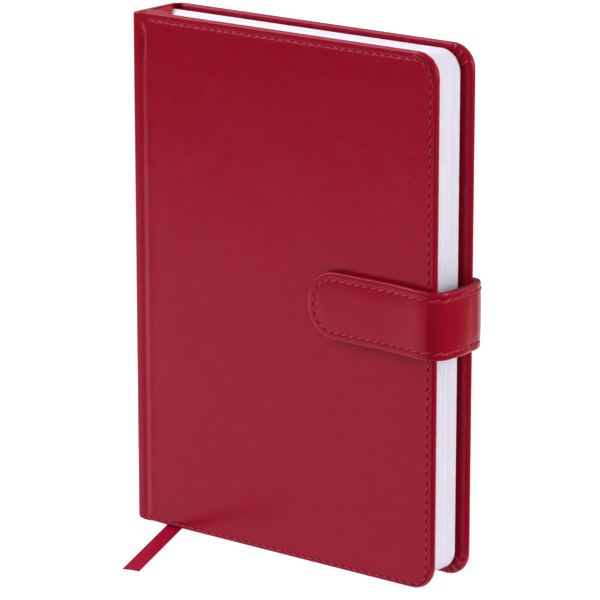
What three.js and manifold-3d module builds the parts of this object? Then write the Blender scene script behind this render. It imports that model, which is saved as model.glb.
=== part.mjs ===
// A5 planner in a padded leatherette case with a magnetic closing strap and a ribbon marker.
// It stands on its bottom edge: X runs from the spine to the fore edge, the front cover looks towards -Y.
// Lengths are in mm. While building, x counts from the spine's outer face and y from the front cover's face.
import * as THREE from 'three';
import { mergeVertices } from 'three/addons/utils/BufferGeometryUtils.js';
import Module from 'manifold-3d';

const wasm = await Module();
wasm.setup();

// ---- case ----
const W = 152.0;                 // spine to fore edge
const H = 216.0;                 // tail to head
const D = 26.4;                  // front face to back face
const CORNER = 10.0;             // cover corner radius
const LIFT = 0.4;                // the front cover rides this far above the floor, over the ribbon
const LEATHER = 0.6;
const PADDING = 0.4;
const BOARD = 1.6;
const TURN_IN = 0.4;             // leather folded over the board's edges
const PASTEDOWN = 0.2;
const COVER = LEATHER + PADDING + BOARD + TURN_IN + PASTEDOWN;
const EDGE_ROUND = 1.0;          // roundness of the wrapped edges
const TURN_IN_WIDTH = 15.0;
const PASTED_SIDE = 7.4;         // a pastedown stops this far from the fore edge
const PASTED_END = 4.2;          // and this far from the head and tail
const CLEAR = 0.1;               // room round the pieces inside the leather

// ---- spine and joints ----
const SHOULDER = 4.0;            // width of the spine's edge, seen from the front
const COVER_START = 7.6;         // the boards begin here, after the groove
const SPINE_ROUND = 1.6;
const SPINE_SKIN = 0.7;
const SPINE_BOARD = 1.8;
const SPINE_LINING = 0.6;

// ---- text block ----
const PAGE_X0 = 4.0;
const PAGE_W = 143.8;
const PAGE_Z0 = 2.6;
const PAGE_H = 211.2;
const PAGE_CORNER = 9.0;
const LEAF = 0.25;               // free endpaper
const SECTIONS = 12;
const SLOT = 0.3;                // room for the ribbon between two sections
const RIBBON_AFTER = 3;          // the ribbon lies behind this section
const BLOCK_Y0 = COVER + 0.1;
const BLOCK_Y1 = D - COVER - 2.0;   // the block is slack in its case, so the back cover stands off a little
const SECTION = (BLOCK_Y1 - BLOCK_Y0 - 2 * LEAF - SLOT) / SECTIONS;

// ---- strap ----
const STRAP_H = 27.2;
const STRAP_Z = 109.6;           // height of its middle
const STRAP_GAP = 0.4;           // air between the strap and the covers' faces
const STRAP_OUTER = 1.1;
const STRAP_INNER = 1.9;         // lining with its foam
const STRAP_T = STRAP_OUTER + STRAP_INNER;
const STRAP_TIP = W - 59.4;
const STRAP_SIDE = W + 0.9;      // inner face of the strap beyond the fore edge
const STRAP_BEND = 2.4;          // radius of its inner face at both bends
const STRAP_OUT = STRAP_GAP + STRAP_T;
const CORE_T = 0.9;
const CORE_INSET = 3.0;
const MAGNET_R = 6.0;
const PLATE_R = 7.0;
const PLATE_T = 1.0;
const ANCHOR_LENGTH = 44.0;

// ---- ribbon ----
const RIBBON_W = 7.4;
const RIBBON_T = 0.2;
const RIBBON_EXIT = [16.0, 8.6]; // where it leaves the block's tail
const RIBBON_TURN = 22.0;        // degrees towards the fore edge from straight ahead
const RIBBON_REACH = 64.8;       // from the exit to the cut end, on the floor

// ---- threads ----
const THREAD_W = 0.5;
const THREAD_T = 0.2;
const STITCH_HEAD = 3.2;          // insets of the covers' sewing
const STITCH_TAIL = 1.9;
const STITCH_FORE = 2.5;
const STRAP_STITCH_INSET = 3.0;

const ARC = 10;                  // facets per quarter turn
const MID_X = (STRAP_SIDE + STRAP_T) / 2;
const MID_Y = D / 2;
const book = new THREE.Group();
book.name = 'planner';

const paint = (hex, rough) => new THREE.MeshStandardMaterial({ color: hex, roughness: rough });
const LOOK = {
  leather: () => paint(0x92203a, 0.35),
  lining: () => paint(0x8a1c34, 0.5),
  board: () => paint(0x9a8a70, 0.9),
  foam: () => paint(0xd8d4cc, 0.95),
  paper: () => paint(0xf1f1f6, 0.9),
  thread: () => paint(0xb43a50, 0.7),
  ribbon: () => paint(0xaf0a32, 0.5),
  mull: () => paint(0xe6e2d6, 0.95),
  steel: () => paint(0xb8babd, 0.4),
};

function add(name, look, geometry) {
  geometry.translate(-MID_X, -MID_Y, 0);
  const mesh = new THREE.Mesh(geometry, LOOK[look]());
  mesh.name = name;
  book.add(mesh);
}

// ---- solids ----

function toSolid(geometry) {
  const bare = geometry.clone();
  bare.deleteAttribute('normal');
  bare.deleteAttribute('uv');
  const welded = mergeVertices(bare, 1e-5);
  return new wasm.Manifold(new wasm.Mesh({
    numProp: 3,
    vertProperties: new Float32Array(welded.attributes.position.array),
    triVerts: new Uint32Array(welded.index.array),
  }));
}

function toGeometry(solid) {
  const mesh = solid.getMesh();
  const geometry = new THREE.BufferGeometry();
  geometry.setAttribute('position', new THREE.BufferAttribute(new Float32Array(mesh.vertProperties), 3));
  geometry.setIndex(new THREE.BufferAttribute(new Uint32Array(mesh.triVerts), 1));
  geometry.computeVertexNormals();
  return geometry;
}

const cut = (from, ...others) => toGeometry(others.reduce((a, b) => a.subtract(toSolid(b)), toSolid(from)));
const join = (a, b) => toGeometry(toSolid(a).add(toSolid(b)));
const common = (a, b) => toGeometry(toSolid(a).intersect(toSolid(b)));

// A shape drawn in X and Z, made solid from y0 to y1.
function plate(shape, y0, y1, round = 0) {
  const geometry = new THREE.ExtrudeGeometry(shape, {
    depth: y1 - y0 - 2 * round,
    curveSegments: ARC,
    bevelEnabled: round > 0,
    bevelThickness: round,
    bevelSize: round,
    bevelOffset: -round,
    bevelSegments: 3,
  });
  geometry.translate(0, 0, round - y1);
  return geometry.rotateX(Math.PI / 2);
}

// A plan drawn in X and Y, made solid from z0 to z1.
function prism(points, z0, z1) {
  const shape = new THREE.Shape(points.map(([x, y]) => new THREE.Vector2(x, y)));
  const geometry = new THREE.ExtrudeGeometry(shape, { depth: z1 - z0, bevelEnabled: false });
  return geometry.translate(0, 0, z0);
}

const box = (x0, x1, y0, y1, z0, z1) => prism([[x0, y0], [x1, y0], [x1, y1], [x0, y1]], z0, z1);

function disc(x, z, radius, y0, y1) {
  const geometry = new THREE.CylinderGeometry(radius, radius, y1 - y0, 4 * ARC);
  return geometry.translate(x, (y0 + y1) / 2, z);
}

// A rectangle with both corners on the fore-edge side rounded.
function coverShape(x0, x1, z0, z1, radius) {
  const shape = new THREE.Shape();
  shape.moveTo(x0, z0);
  shape.lineTo(x1 - radius, z0);
  shape.absarc(x1 - radius, z0 + radius, radius, -Math.PI / 2, 0, false);
  shape.lineTo(x1, z1 - radius);
  shape.absarc(x1 - radius, z1 - radius, radius, 0, Math.PI / 2, false);
  shape.lineTo(x0, z1);
  shape.closePath();
  return shape;
}

// The outline of the thread along the tail, the fore edge and the head, drawn inwards from its outer side.
const borderShape = (x0, z0, inwards) => coverShape(x0, W - STITCH_FORE - inwards, z0 + STITCH_TAIL + inwards,
  H - STITCH_HEAD - inwards, CORNER - STITCH_FORE - inwards);

function arc(cx, cy, radius, from, to, steps = ARC) {
  return Array.from({ length: steps + 1 }, (_, i) => {
    const angle = from + ((to - from) * i) / steps;
    return [cx + radius * Math.cos(angle), cy + radius * Math.sin(angle)];
  });
}

// ---- covers: side is 0 for the front cover and 1 for the back one, and depths count inwards ----

function cover(side, name) {
  const y = (inward) => (side ? D - inward : inward);
  const layer = (shape, from, to, round) => {
    const [low, high] = [y(from), y(to)].sort((a, b) => a - b);
    return plate(shape, low, high, round);
  };
  const z0 = side ? 0 : LIFT;
  const leatherIn = COVER - PASTEDOWN;
  const boardIn = LEATHER + PADDING + BOARD;
  const inset = LEATHER + CLEAR;

  const whole = layer(coverShape(COVER_START, W, z0, H, CORNER), 0, leatherIn, EDGE_ROUND);
  const pocket = layer(coverShape(0, W - LEATHER, z0 + LEATHER, H - LEATHER, CORNER - LEATHER),
    LEATHER, boardIn);
  const window = layer(coverShape(0, W - TURN_IN_WIDTH, z0 + TURN_IN_WIDTH, H - TURN_IN_WIDTH, 1),
    LEATHER + 1, COVER);
  add(`${name}_leather`, 'leather', cut(whole, pocket, window));

  const inner = coverShape(COVER_START + CLEAR, W - inset, z0 + inset, H - inset, CORNER - inset);
  add(`${name}_padding`, 'foam', layer(inner, LEATHER, LEATHER + PADDING));
  const board = layer(inner, LEATHER + PADDING, boardIn);
  if (side) {
    add(`${name}_board`, 'board', board);
  } else {
    const seat = LEATHER + PADDING;
    add(`${name}_board`, 'board',
      cut(board, disc(STRAP_TIP + STRAP_H / 2, STRAP_Z, PLATE_R + CLEAR, seat - 1, seat + PLATE_T + CLEAR)));
    add('latch_plate', 'steel',
      disc(STRAP_TIP + STRAP_H / 2, STRAP_Z, PLATE_R, seat, seat + PLATE_T));
  }

  const sheet = layer(coverShape(COVER_START + 0.6, W - PASTED_SIDE, z0 + PASTED_END, H - PASTED_END, 3),
    leatherIn, COVER);
  const filled = layer(coverShape(COVER_START + 0.6, W - TURN_IN_WIDTH - CLEAR, z0 + TURN_IN_WIDTH + CLEAR,
    H - TURN_IN_WIDTH - CLEAR, 1 - CLEAR), boardIn, leatherIn + PASTEDOWN / 2);
  add(`${name}_pastedown`, 'paper', join(sheet, filled));

  add(`${name}_stitching`, 'thread', cut(layer(borderShape(COVER_START + 1.4, z0, 0), 0, -THREAD_T),
    layer(borderShape(0, z0, THREAD_W), 1, -1)));
}

// Leather that bridges the groove between the spine and a cover.
function joint(side, name) {
  const y = (inward) => (side ? D - inward : inward);
  const top = [[SHOULDER + 0.05, 0.15], [4.3, 0.95], [4.8, 1.5], [5.5, 1.45], [6.4, 0.85], [7.1, 0.4],
    [7.5, 0.2]];
  const skin = top.map(([x, inward]) => [x, inward + LEATHER]).reverse();
  add(name, 'leather', prism([...top, ...skin].map(([x, inward]) => [x, y(inward)]), side ? 0 : LIFT, H));
}

cover(0, 'front');
cover(1, 'back');
joint(0, 'front_joint_leather');
joint(1, 'back_joint_leather');

// ---- spine ----

const spinePlan = [
  [SHOULDER, 0], ...arc(SPINE_ROUND, SPINE_ROUND, SPINE_ROUND, -Math.PI / 2, -Math.PI, 6),
  ...arc(SPINE_ROUND, D - SPINE_ROUND, SPINE_ROUND, Math.PI, Math.PI / 2, 6), [SHOULDER, D],
];
const spineDepth = SPINE_SKIN + SPINE_BOARD + SPINE_LINING;
const hollow = box(SPINE_SKIN, SHOULDER + 1, SPINE_SKIN, D - SPINE_SKIN, SPINE_SKIN, H - SPINE_SKIN);
const headAndTail = box(spineDepth, SHOULDER + 1, SPINE_SKIN, D - SPINE_SKIN, -1, H + 1);
add('spine_leather', 'leather', cut(prism(spinePlan, 0, H), hollow, headAndTail));

const spinePiece = (x0, x1) => box(x0, x1, SPINE_SKIN + CLEAR, D - SPINE_SKIN - CLEAR,
  SPINE_SKIN + CLEAR, H - SPINE_SKIN - CLEAR);
add('spine_board', 'board', spinePiece(SPINE_SKIN, SPINE_SKIN + SPINE_BOARD));
add('spine_lining', 'lining', spinePiece(SPINE_SKIN + SPINE_BOARD, spineDepth));

// ---- text block ----

const pageShape = coverShape(PAGE_X0, PAGE_X0 + PAGE_W, PAGE_Z0, PAGE_Z0 + PAGE_H, PAGE_CORNER);
let depth = BLOCK_Y0;
add('front_flyleaf', 'paper', plate(pageShape, depth, depth + LEAF));
depth += LEAF;
for (let i = 1; i <= SECTIONS; i += 1) {
  add(`section_${String(i).padStart(2, '0')}`, 'paper', plate(pageShape, depth, depth + SECTION));
  depth += SECTION;
  if (i === RIBBON_AFTER) depth += SLOT;
}
add('back_flyleaf', 'paper', plate(pageShape, BLOCK_Y1 - LEAF, BLOCK_Y1));

const PAGE_Z1 = PAGE_Z0 + PAGE_H;
const blockY = (inward) => [BLOCK_Y0 + inward, BLOCK_Y1 - inward];
add('block_lining', 'mull',
  box(PAGE_X0 - 0.5, PAGE_X0 - 0.05, ...blockY(LEAF), PAGE_Z0 + 4, PAGE_Z1 - 4));

// Leather folded over the head and tail of the front joint, with a rounded end.
const FOLD_Y0 = BLOCK_Y0 + 0.3;
const FOLD_Y1 = FOLD_Y0 + 4.6;
function fold(name, reach, z0, z1) {
  const middle = (FOLD_Y0 + FOLD_Y1) / 2;
  const radius = (FOLD_Y1 - FOLD_Y0) / 2;
  const end = arc(reach - radius, middle, radius, -Math.PI / 2, Math.PI / 2, 8);
  add(name, 'leather', prism([[spineDepth + CLEAR, FOLD_Y0], ...end, [spineDepth + CLEAR, FOLD_Y1]], z0, z1));
}
fold('head_fold', 16.4, PAGE_Z1 + 0.2, H - 0.3);
fold('tail_fold', 11.0, 0.6, PAGE_Z0 - 0.2);

// The rest of that fold, cut on the slant, which hides the block's ends beside the spine.
function cap(name, reach, z0, z1) {
  const x0 = spineDepth + CLEAR;
  add(name, 'leather', prism([[x0, FOLD_Y1], [reach, FOLD_Y1], [PAGE_X0 + 0.6, BLOCK_Y1 - 0.5],
    [x0, BLOCK_Y1 - 0.5]], z0, z1));
}
cap('head_cap', 14.0, PAGE_Z1 + 0.7, PAGE_Z1 + 1.4);
cap('tail_cap', 8.6, PAGE_Z0 - 1.4, PAGE_Z0 - 0.7);

// Round silk cords glued across the block's ends at the spine.
function band(name, z0, z1) {
  const y0 = FOLD_Y1 + 0.5;
  const up = z1 > z0 ? 1 : -1;
  const across = Math.abs(z1 - z0);
  const shape = new THREE.Shape(arc(across, 0, across, 0, Math.PI)
    .map(([x, z]) => new THREE.Vector2(PAGE_X0 - 0.7 + x, z0 + up * z)));
  add(name, 'lining', plate(shape, y0, BLOCK_Y1 - LEAF));
}
band('head_band', PAGE_Z1, PAGE_Z1 + 0.6);
band('tail_band', PAGE_Z0, PAGE_Z0 - 0.6);

// ---- ribbon: the hidden run between two sections, then the free tail on the floor ----

const slotY = BLOCK_Y0 + LEAF + RIBBON_AFTER * SECTION + (SLOT - RIBBON_T) / 2;
const [exitX, exitY] = RIBBON_EXIT;
const runShape = new THREE.Shape([[PAGE_X0 + 1, PAGE_Z1], [PAGE_X0 + 1 + RIBBON_W, PAGE_Z1],
  [exitX + RIBBON_W / 2, PAGE_Z0], [exitX - RIBBON_W / 2, PAGE_Z0]].map(([x, z]) => new THREE.Vector2(x, z)));
add('ribbon_run', 'ribbon', plate(runShape, slotY, slotY + RIBBON_T));

// Side view of the tail: down from the block, round a bend, and out along the floor.
function ribbonTail() {
  const bend = 1.6;
  const round = (radius) => arc(bend, bend + 0.02, radius, Math.PI, 1.5 * Math.PI, 8);
  const line = [[0, PAGE_Z0 - 0.4], ...round(bend), [RIBBON_REACH, 0.02]];
  const inner = [[RIBBON_T, PAGE_Z0 - 0.4], ...round(bend - RIBBON_T), [RIBBON_REACH, 0.02 + RIBBON_T]];
  const side = new THREE.Shape([...line, ...inner.reverse()].map(([s, z]) => new THREE.Vector2(s, z)));
  const geometry = new THREE.ExtrudeGeometry(side, { depth: RIBBON_W, bevelEnabled: false });
  geometry.translate(0, 0, -RIBBON_W / 2).rotateX(Math.PI / 2);
  geometry.rotateZ(THREE.MathUtils.degToRad(RIBBON_TURN - 90));
  return geometry.translate(exitX, exitY, 0);
}
add('ribbon_tail', 'ribbon', ribbonTail());

// ---- strap ----

// The strap's plan at a distance out from its inner face, from the tip round the fore edge to the back.
function strapLine(out, tip) {
  const radius = STRAP_BEND + out;
  const cx = STRAP_SIDE - STRAP_BEND;
  const front = -STRAP_GAP + STRAP_BEND;
  const back = D + STRAP_GAP - STRAP_BEND;
  return [[tip, -STRAP_GAP - out], ...arc(cx, front, radius, -Math.PI / 2, 0),
    ...arc(cx, back, radius, 0, Math.PI / 2)];
}

const strapBand = (from, to, tip) => prism([...strapLine(to, tip), ...strapLine(from, tip).reverse()],
  STRAP_Z - STRAP_H / 2, STRAP_Z + STRAP_H / 2);

// The strap's side view, which rounds its tip: a half circle and a straight length.
function tongue(tip, end, height) {
  const shape = new THREE.Shape();
  const radius = height / 2;
  shape.moveTo(end, STRAP_Z - radius);
  shape.lineTo(end, STRAP_Z + radius);
  shape.lineTo(tip + radius, STRAP_Z + radius);
  shape.absarc(tip + radius, STRAP_Z, radius, Math.PI / 2, 1.5 * Math.PI, false);
  shape.closePath();
  return shape;
}

const rounder = plate(tongue(STRAP_TIP, W + 20, STRAP_H), -10, D + 10);
const plyFace = -STRAP_GAP - STRAP_INNER;
const coreShape = tongue(STRAP_TIP + CORE_INSET, W - 6, STRAP_H - 2 * CORE_INSET);
const corePocket = tongue(STRAP_TIP + CORE_INSET - CLEAR, W - 6 + CLEAR, STRAP_H - 2 * (CORE_INSET - CLEAR));
const magnetX = STRAP_TIP + STRAP_H / 2;

add('strap_outer', 'leather', common(strapBand(STRAP_INNER, STRAP_T, STRAP_TIP - 1), rounder));
add('strap_lining', 'lining', cut(common(strapBand(0, STRAP_INNER, STRAP_TIP - 1), rounder),
  plate(corePocket, plyFace - 1, plyFace + CORE_T + CLEAR)));
add('strap_core', 'board', cut(plate(coreShape, plyFace, plyFace + CORE_T),
  disc(magnetX, STRAP_Z, MAGNET_R + CLEAR, plyFace - 1, plyFace + 2)));
add('strap_magnet', 'steel', disc(magnetX, STRAP_Z, MAGNET_R, plyFace, plyFace + CORE_T));

// Thread round the strap, just proud of its outer face.
class StrapThread extends THREE.Curve {
  constructor() {
    super();
    this.radius = STRAP_H / 2 - STRAP_STITCH_INSET;
    this.rail = new THREE.CurvePath();
    const line = strapLine(STRAP_T + THREAD_T / 2 + 0.06, STRAP_TIP + STRAP_H / 2);
    for (let i = 1; i < line.length; i += 1) {
      this.rail.add(new THREE.LineCurve(new THREE.Vector2(...line[i - 1]), new THREE.Vector2(...line[i])));
    }
    this.straight = this.rail.getLength();
    this.half = Math.PI * this.radius;
  }

  getPoint(t) {
    const s = t * (2 * this.straight + this.half);
    if (s <= this.straight || s >= this.straight + this.half) {
      const up = s <= this.straight ? 1 : -1;
      const along = up > 0 ? this.straight - s : s - this.straight - this.half;
      const { x, y } = this.rail.getPointAt(Math.min(along / this.straight, 1));
      return new THREE.Vector3(x, y, STRAP_Z + up * this.radius);
    }
    const angle = Math.PI / 2 + (s - this.straight) / this.radius;
    const start = this.rail.getPointAt(0);
    return new THREE.Vector3(start.x + this.radius * Math.cos(angle), start.y,
      STRAP_Z + this.radius * Math.sin(angle));
  }
}

const threadEnd = new THREE.Shape(arc(0, 0, THREAD_T / 2, 0, 2 * Math.PI, 6).slice(0, -1)
  .map(([x, y]) => new THREE.Vector2(x, y)));
add('strap_stitching', 'thread',
  new THREE.ExtrudeGeometry(threadEnd, { steps: 180, bevelEnabled: false, extrudePath: new StrapThread() }));

// The sewn-on end of the strap on the back cover.
const anchorEnd = STRAP_SIDE - STRAP_BEND - CLEAR;
const anchorShape = tongue(anchorEnd - ANCHOR_LENGTH, anchorEnd, STRAP_H);
const anchorFace = D + STRAP_OUT - 0.1;
add('strap_anchor', 'leather', plate(anchorShape, D + THREAD_T + 0.05, anchorFace));
const sewn = tongue(anchorEnd - ANCHOR_LENGTH + STRAP_STITCH_INSET, anchorEnd - 2,
  STRAP_H - 2 * STRAP_STITCH_INSET);
sewn.holes.push(tongue(anchorEnd - ANCHOR_LENGTH + STRAP_STITCH_INSET + THREAD_W, anchorEnd - 2 - THREAD_W,
  STRAP_H - 2 * (STRAP_STITCH_INSET + THREAD_W)));
add('anchor_stitching', 'thread', plate(sewn, anchorFace, anchorFace + THREAD_T));

export default book;
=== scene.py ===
"""Looks for the A5 planner: padded crimson leatherette, sewn edges, magnetic strap, ribbon and page block.

Everything is drawn in book millimetres: x from the spine's outer face, y from the front cover's face, z from
the floor. row() takes such a point to the row frame in metres.
"""

import math

import bpy
import numpy as np
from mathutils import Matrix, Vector
from mathutils.kdtree import KDTree


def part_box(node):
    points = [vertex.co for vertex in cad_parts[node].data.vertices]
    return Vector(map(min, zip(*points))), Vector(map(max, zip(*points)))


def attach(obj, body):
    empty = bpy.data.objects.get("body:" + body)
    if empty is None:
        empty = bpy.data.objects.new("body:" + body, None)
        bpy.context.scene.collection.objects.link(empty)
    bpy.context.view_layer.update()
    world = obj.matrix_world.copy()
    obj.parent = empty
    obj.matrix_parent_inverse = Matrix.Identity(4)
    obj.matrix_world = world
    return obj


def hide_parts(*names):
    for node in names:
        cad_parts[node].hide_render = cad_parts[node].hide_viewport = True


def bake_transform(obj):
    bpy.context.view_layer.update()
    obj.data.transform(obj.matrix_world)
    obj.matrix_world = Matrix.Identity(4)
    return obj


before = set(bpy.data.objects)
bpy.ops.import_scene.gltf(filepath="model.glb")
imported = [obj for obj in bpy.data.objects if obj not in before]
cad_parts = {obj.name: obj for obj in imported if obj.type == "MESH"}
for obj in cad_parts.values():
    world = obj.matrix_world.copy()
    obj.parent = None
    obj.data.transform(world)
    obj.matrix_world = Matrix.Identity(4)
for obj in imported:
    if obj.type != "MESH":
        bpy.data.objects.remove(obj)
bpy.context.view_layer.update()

MM = 0.001
ORIGIN = np.array([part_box("spine_leather")[0].x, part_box("front_leather")[0].y, 0.0])


def row(points):
    """Book millimetres to metres in the row frame."""
    return np.asarray(points, float) * MM + ORIGIN


def book_box(name):
    """The low and high corners of a node's box, in book millimetres."""
    low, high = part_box(name)
    return (np.array(low) - ORIGIN) / MM, (np.array(high) - ORIGIN) / MM


# ---- sizes, from the frame ----
W = book_box("front_leather")[1][0]
D = book_box("back_leather")[1][1]
H = book_box("spine_leather")[1][2]
LIFT = book_box("front_leather")[0][2]
INNER = book_box("front_leather")[1][1]  # depth of the turned-in leather on a cover's inside
CORNER = 10.0  # the covers' corner radius
EDGE_ROUND = 1.0  # roundness of the leather over the boards' edges
PAGE_LOW, PAGE_HIGH = book_box("section_06")
PAGE_CORNER = 9.0
SPINE_IN = 3.2  # the spine piece ends here, and the covers' leather starts
STRAP_LOW, STRAP_HIGH = book_box("strap_outer")
STRAP_H = STRAP_HIGH[2] - STRAP_LOW[2]
STRAP_Z = (STRAP_HIGH[2] + STRAP_LOW[2]) / 2
STRAP_TIP = STRAP_LOW[0]
STRAP_T = 3.0
STRAP_PLY = 1.9  # thickness of its lining ply
STRAP_GAP = 0.4


# ---- camera: fitted to the photograph's edges, with the standing verticals nearly parallel ----
def make_camera():
    data = bpy.data.cameras.new("camera")
    data.sensor_width = 36.0
    data.lens = 222.1
    camera = bpy.data.objects.new("camera", data)
    bpy.context.scene.collection.objects.link(camera)
    camera.location = row([959.66, -1117.25, 488.81])
    camera.rotation_euler = (math.radians(90 - 14.991), 0, math.radians(38.017))
    data.clip_start, data.clip_end = 0.05, 50
    bpy.context.scene.camera = camera


make_camera()


# ---- materials ----
class Shader:
    """A node material: add() makes a node, and a value that is a socket is linked."""

    def __init__(self, name):
        self.material = bpy.data.materials.new(name)
        self.material.use_nodes = True
        self.tree = self.material.node_tree
        self.tree.nodes.clear()

    def add(self, kind, values=(), **settings):
        made = self.tree.nodes.new("ShaderNode" + kind)
        for key, value in settings.items():
            setattr(made, key, value)
        for key, value in dict(values).items():
            if isinstance(value, bpy.types.NodeSocket):
                self.tree.links.new(value, made.inputs[key])
            else:
                made.inputs[key].default_value = value
        return made

    def object_points(self, scale=(1, 1, 1)):
        points = self.add("TexCoord").outputs["Object"]
        return self.add("Mapping", {"Vector": points, "Scale": scale}).outputs["Vector"]

    def noise(self, points, scale, detail=3.0, roughness=0.5):
        values = {"Vector": points, "Scale": scale, "Detail": detail, "Roughness": roughness}
        return self.add("TexNoise", values).outputs["Fac"]

    def math(self, operation, a, b=0.0):
        return self.add("Math", {0: a, 1: b}, operation=operation).outputs[0]

    def ramp(self, value, low, high, to_low=0.0, to_high=1.0):
        values = {"Value": value, "From Min": low, "From Max": high, "To Min": to_low, "To Max": to_high}
        return self.add("MapRange", values).outputs["Result"]

    def mix(self, share, a, b):
        first, second, result = 6, 7, 2  # the sockets of a Mix node that carry colour
        return self.add("Mix", {"Factor": share, first: a, second: b}, data_type="RGBA").outputs[result]

    def bump(self, height, distance, strength=1.0, normal=None):
        values = {"Height": height, "Distance": distance, "Strength": strength}
        if normal is not None:
            values["Normal"] = normal
        return self.add("Bump", values).outputs["Normal"]

    def finish(self, **values):
        """The material, with these values on its Principled shader."""
        surface = self.add("BsdfPrincipled", {key.replace("_", " "): value for key, value in values.items()})
        output = self.add("OutputMaterial")
        self.tree.links.new(surface.outputs["BSDF"], output.inputs["Surface"])
        return self.material


def linear(red, green, blue):
    """An sRGB colour of 0 to 255 as linear RGBA."""
    channels = [c / 255 for c in (red, green, blue)]
    return tuple(c / 12.92 if c <= 0.04045 else ((c + 0.055) / 1.055) ** 2.4 for c in channels) + (1.0,)


def leather(name, colour, dark, rough=0.19, grain=1.0, level=0.5):
    """Coated leatherette: rounded pores, a fine grain over them, slow waves, and needle holes. Painted shade
    darkens the pores' low parts and the needle holes.
    """
    s = Shader(name)
    points = s.object_points()
    pores = s.add("TexVoronoi", {"Vector": points, "Scale": 1500.0, "Randomness": 1.0},
                  feature="SMOOTH_F1").outputs["Distance"]
    fine = s.noise(points, 5200.0, 2.0)
    slow = s.noise(points, 42.0, 4.0, 0.45)
    mottle = s.noise(points, 260.0, 5.0, 0.6)
    pit = s.add("Attribute", attribute_name="pit").outputs["Fac"]
    # Random mottling, plus painted shade: the colour is darker where the pores sink.
    shade = s.math("ADD", s.ramp(mottle, 0.3, 0.7, 0.0, 0.35), s.ramp(pores, 0.1, 0.75, 0.0, 0.3))
    tone = s.mix(shade, colour, dark)
    # Painted shade: the needle holes are darkened towards a deep crimson.
    base = s.mix(s.math("MULTIPLY", pit, 0.9), tone, linear(62, 1, 10))
    height = s.math("ADD", s.math("MULTIPLY", pores, -0.7), s.math("MULTIPLY", fine, 0.4))
    normal = s.bump(height, 0.00006 * grain, 1.0, s.bump(slow, 0.0007 * grain, 0.5))
    worn = s.ramp(mottle, 0.3, 0.7, rough - 0.04, rough + 0.06)
    roughness = s.math("ADD", worn, s.math("MULTIPLY", pit, 0.3))
    return s.finish(Base_Color=base, Roughness=roughness, Normal=normal, Specular_IOR_Level=level,
                    Specular_Tint=(1.0, 0.2, 0.45, 1.0))


def paper(name, colour, shade, lines=True):
    """Smooth offset paper. On the block's edges its leaves show as fine lines that run with the leaves."""
    s = Shader(name)
    points = s.object_points()
    fibre = s.noise(points, 900.0, 4.0, 0.6)
    if lines:
        leaves = s.noise(s.object_points((3.0, 2600.0, 3.0)), 1.0, 3.0, 0.7)
        bands = s.noise(s.object_points((5.0, 420.0, 5.0)), 1.0, 2.0, 0.5)
        tone = s.math("ADD", s.ramp(leaves, 0.3, 0.7, 0.0, 0.55), s.ramp(bands, 0.35, 0.65, 0.0, 0.45))
        height = s.math("ADD", leaves, s.math("MULTIPLY", fibre, 0.3))
        normal = s.bump(height, 0.00005)
    else:
        tone = s.ramp(fibre, 0.3, 0.7, 0.0, 0.5)
        normal = s.bump(fibre, 0.00003)
    return s.finish(Base_Color=s.mix(tone, colour, shade), Roughness=0.75, Normal=normal,
                    Specular_IOR_Level=0.3)


def fabric(name, colour, dark, across=3200.0, rough=0.5, sheen=0.2, level=0.35, tint=(1, 1, 1, 1)):
    """Fine woven or twisted yarn, as two crossing sets of ribs."""
    s = Shader(name)
    points = s.object_points()
    warp = s.add("TexWave", {"Vector": points, "Scale": across, "Distortion": 0.6, "Detail": 1.0},
                 bands_direction="X").outputs["Fac"]
    weft = s.add("TexWave", {"Vector": points, "Scale": across * 1.3, "Distortion": 0.6, "Detail": 1.0},
                 bands_direction="DIAGONAL").outputs["Fac"]
    ribs = s.math("MULTIPLY", warp, weft)
    uneven = s.noise(points, 600.0, 3.0)
    # Painted shade: the colour is darker between the ribs; the slow unevenness is the yarn's own tone.
    shade = s.math("ADD", s.ramp(ribs, 0.0, 1.0, 0.5, 0.0), s.ramp(uneven, 0.3, 0.7, 0.0, 0.4))
    return s.finish(Base_Color=s.mix(shade, colour, dark), Roughness=rough, Normal=s.bump(ribs, 0.00004),
                    Sheen_Weight=sheen, Specular_IOR_Level=level, Specular_Tint=tint)


def plain(name, colour, dark, scale, rough, metal=0.0, depth=0.00005):
    """Pressed board, foam or brushed steel: a mottled tone over a little relief."""
    s = Shader(name)
    points = s.object_points()
    grit = s.noise(points, scale, 6.0, 0.65)
    return s.finish(Base_Color=s.mix(s.ramp(grit, 0.3, 0.7), colour, dark), Roughness=rough, Metallic=metal,
                    Normal=s.bump(grit, depth))


LEATHER = leather("crimson_leatherette", linear(161, 6, 32), linear(142, 4, 26))
# A lighter copy of the crimson leatherette for the flaps at the head and tail: painted light.
LIT_FOLDED = leather("folded_leatherette_lit", linear(182, 4, 34), linear(156, 3, 26), rough=0.5, level=0.08)
LINING = leather("strap_lining_leatherette", linear(124, 8, 26), linear(104, 6, 20), rough=0.42,
                 level=0.3)
PAPER_EDGE = paper("page_edges", linear(250, 248, 254), linear(236, 233, 246))
PAPER = paper("endpaper", linear(248, 247, 250), linear(240, 239, 244), lines=False)
THREAD = fabric("sewing_thread", linear(222, 40, 76), linear(196, 24, 54), across=2600.0, rough=0.32,
                sheen=0.0, level=0.8, tint=(1.0, 0.35, 0.5, 1.0))
RIBBON = fabric("satin_ribbon", linear(194, 1, 62), linear(168, 1, 48), rough=0.5, sheen=0.0, level=0.1,
                tint=(1.0, 0.2, 0.5, 1.0))
SILK = fabric("band_silk", linear(150, 14, 36), linear(110, 8, 26), across=500.0)
BOARD = plain("grey_board", linear(158, 142, 116), linear(128, 112, 88), 1500.0, 0.9)
FOAM = plain("pale_foam", linear(222, 216, 206), linear(196, 188, 176), 3000.0, 0.95)
MULL = fabric("mull_cloth", linear(236, 232, 220), linear(204, 198, 180), across=900.0, rough=0.9)
STEEL = plain("steel", linear(190, 192, 196), linear(160, 162, 166), 2600.0, 0.35, metal=1.0)


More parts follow.
